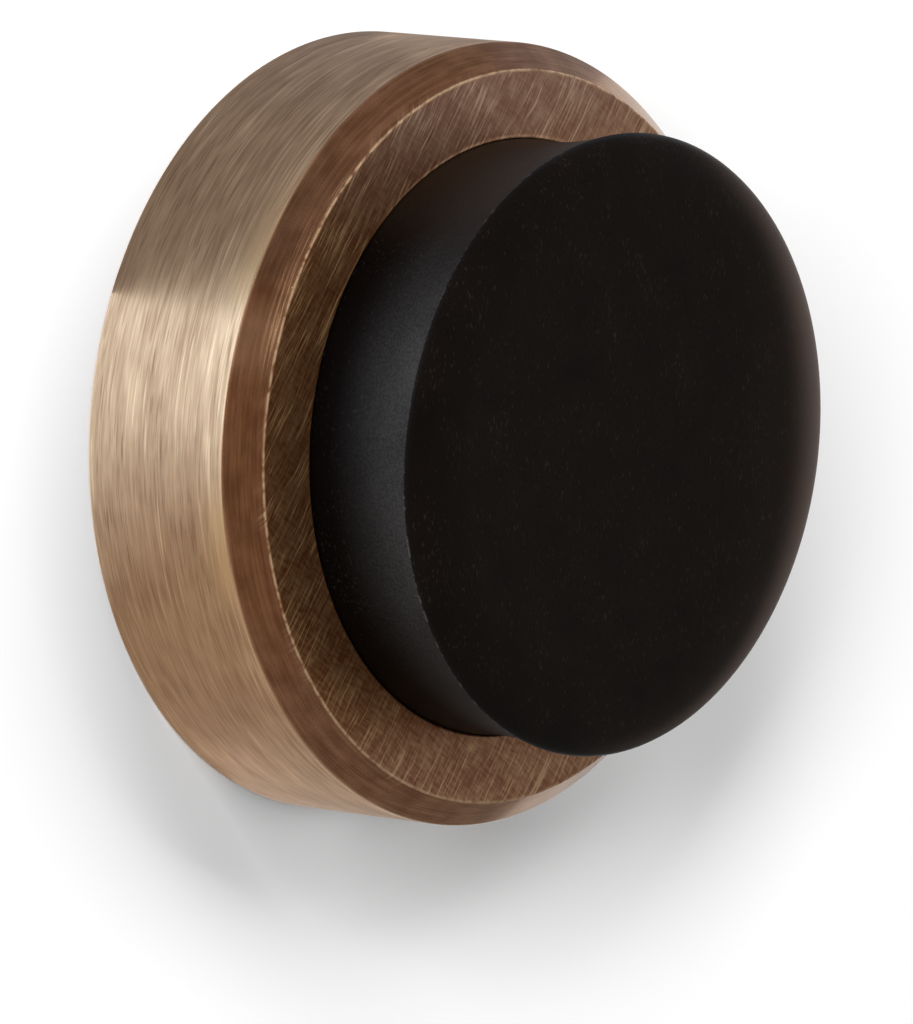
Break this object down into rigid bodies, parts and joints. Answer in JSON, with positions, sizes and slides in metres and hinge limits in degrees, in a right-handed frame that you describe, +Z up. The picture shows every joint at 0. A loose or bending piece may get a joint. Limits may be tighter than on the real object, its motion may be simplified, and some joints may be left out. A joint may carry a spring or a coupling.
{
  "type": "door handle wall protector",
  "caption": "Round wall-mounted door stop: a turned antique brass cup with a bevelled front edge holds a flared black rubber buffer, over a hidden countersunk wall screw.",
  "frame": {"origin": "middle of the brass back face, in the plane of the wall", "axes": "+Y into the wall along the turned axis, so the buffer faces -Y; +Z up"},
  "size_m": [0.045, 0.0557, 0.045],
  "materials": {
    "antique_brass": "brushed, darkened to a brown patina, bright along worn edges",
    "black_rubber": "moulded, matte",
    "screw_steel": "zinc plated"
  },
  "bodies": {
    "root": {"brass_body": "antique_brass", "rubber_buffer": "black_rubber", "wall_screw": "screw_steel"}
  },
  "joints": []
}
